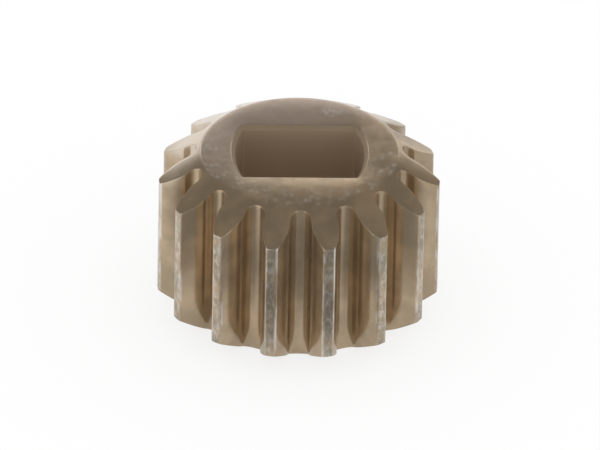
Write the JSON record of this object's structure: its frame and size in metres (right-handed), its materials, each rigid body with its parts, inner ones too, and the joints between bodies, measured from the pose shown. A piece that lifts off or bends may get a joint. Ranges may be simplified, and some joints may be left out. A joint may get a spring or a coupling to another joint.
{
  "type": "pinion gear",
  "caption": "Small sintered-metal spur pinion with coned tooth ends and a flat-sided, bow-ended shaft hole; turns with its shaft and drives a larger gear",
  "frame": {"origin": "on the gear's axis, in the lower end face; the gear stands on that face and its whole body is above it", "axes": "+Z is the gear's axis and points up out of the end face that the picture shows; the two flats of the shaft hole run along X; +Y passes through the middle of a tooth and -Y through the middle of a gap"},
  "size_m": [0.0254, 0.0252, 0.016],
  "materials": {
    "sintered_metal": "matt sintered metal with a bronze tone, rubbed bright along the tooth tips"
  },
  "bodies": {
    "root": {"pinion": "sintered_metal"}
  },
  "joints": []
}
